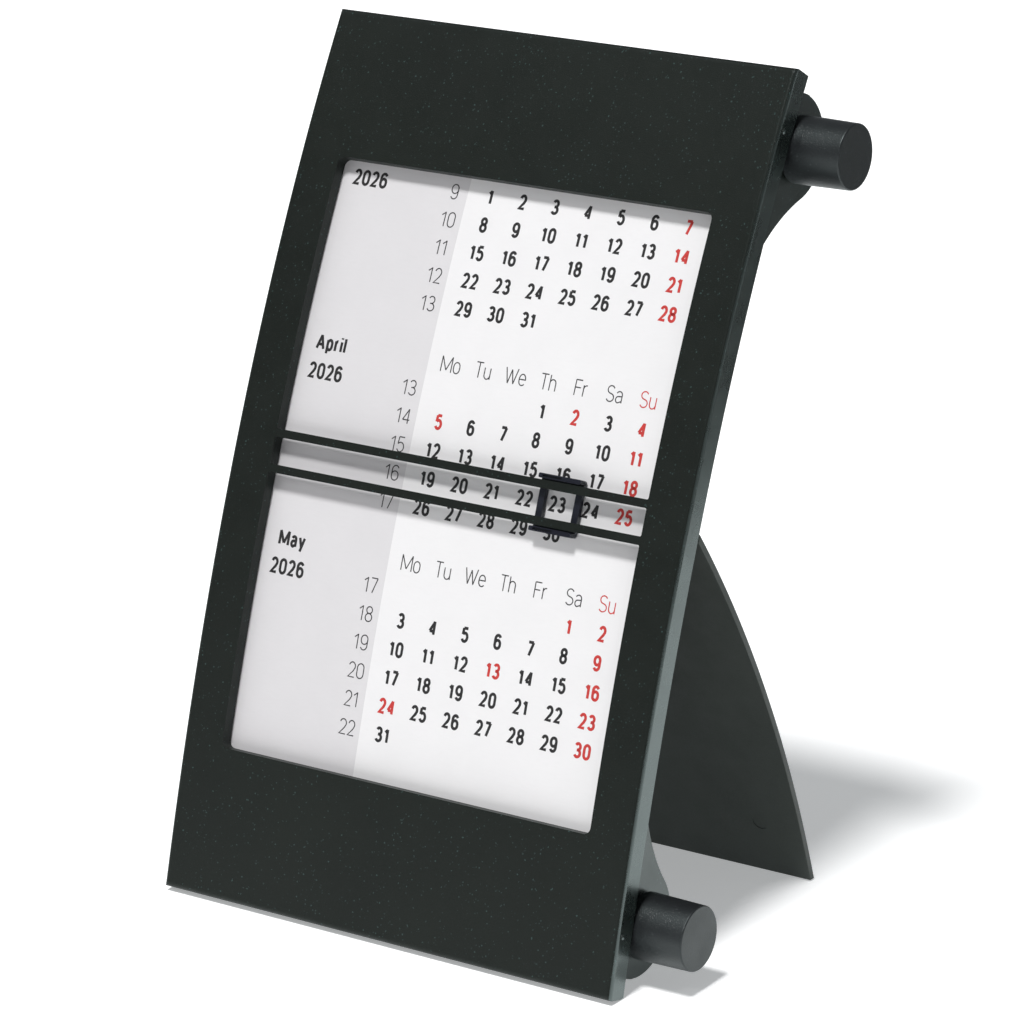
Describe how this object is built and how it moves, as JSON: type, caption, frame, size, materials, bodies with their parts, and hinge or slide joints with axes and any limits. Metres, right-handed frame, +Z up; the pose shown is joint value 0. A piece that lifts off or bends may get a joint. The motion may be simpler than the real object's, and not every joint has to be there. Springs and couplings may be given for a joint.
{
  "type": "roll desk calendar",
  "caption": "Curved desk calendar: a paper strip winds between two knob-turned rollers behind a window with a sliding date marker and folding stand.",
  "frame": {"origin": "on the surface it stands on, under the middle of the whole object's bounding box", "axes": "+Z up, the window faces -Y, the knobs stick out towards +X"},
  "size_m": [0.1242, 0.087, 0.1763],
  "materials": {
    "housing": "fine spark-textured moulded plastic, very dark green black",
    "leg": "smooth moulded plastic with a faint parting haze",
    "knob": "fine matte charcoal plastic",
    "marker": "satin blue black plastic",
    "paper": "smooth uncoated paper with a printed date grid",
    "spindle": "plain moulded plastic",
    "core": "pale moulded tube",
    "felt": "pressed grey felt",
    "steel": "drawn wire"
  },
  "bodies": {
    "body": {"front_frame": "housing", "back_shell": "housing", "paper_strip": "paper", "upper_friction_washer": "felt", "lower_friction_washer": "felt", "hinge_pin_left": "steel", "hinge_pin_right": "steel"},
    "upper_roller": {"upper_knob": "knob", "upper_spindle": "spindle", "upper_core": "core", "upper_coil": "paper"},
    "lower_roller": {"lower_knob": "knob", "lower_spindle": "spindle", "lower_core": "core", "lower_coil": "paper"},
    "marker": {"date_marker": "marker"},
    "leg": {"stand_leg": "leg"}
  },
  "joints": [
    {"name": "upper_roll", "type": "hinge", "parent": "body", "child": "upper_roller", "pos_m": [0, 0.0322, 0.15852], "axis": [-1, 0, 0], "continuous": true},
    {"name": "lower_roll", "type": "hinge", "parent": "body", "child": "lower_roller", "pos_m": [0, -0.02776, 0.01141], "axis": [-1, 0, 0], "continuous": true},
    {"name": "marker_slide", "type": "slide", "parent": "body", "child": "marker", "axis": [1, 0, 0], "range_m": [-0.0655, 0.016]},
    {"name": "leg_fold", "type": "hinge", "parent": "body", "child": "leg", "pos_m": [0, -0.00744, 0.08582], "axis": [-1, 0, 0], "range_deg": [0, 31]}
  ],
  "couplings": [
    {"joint": "lower_roll", "follows": "upper_roll", "ratio": 0.9651}
  ]
}
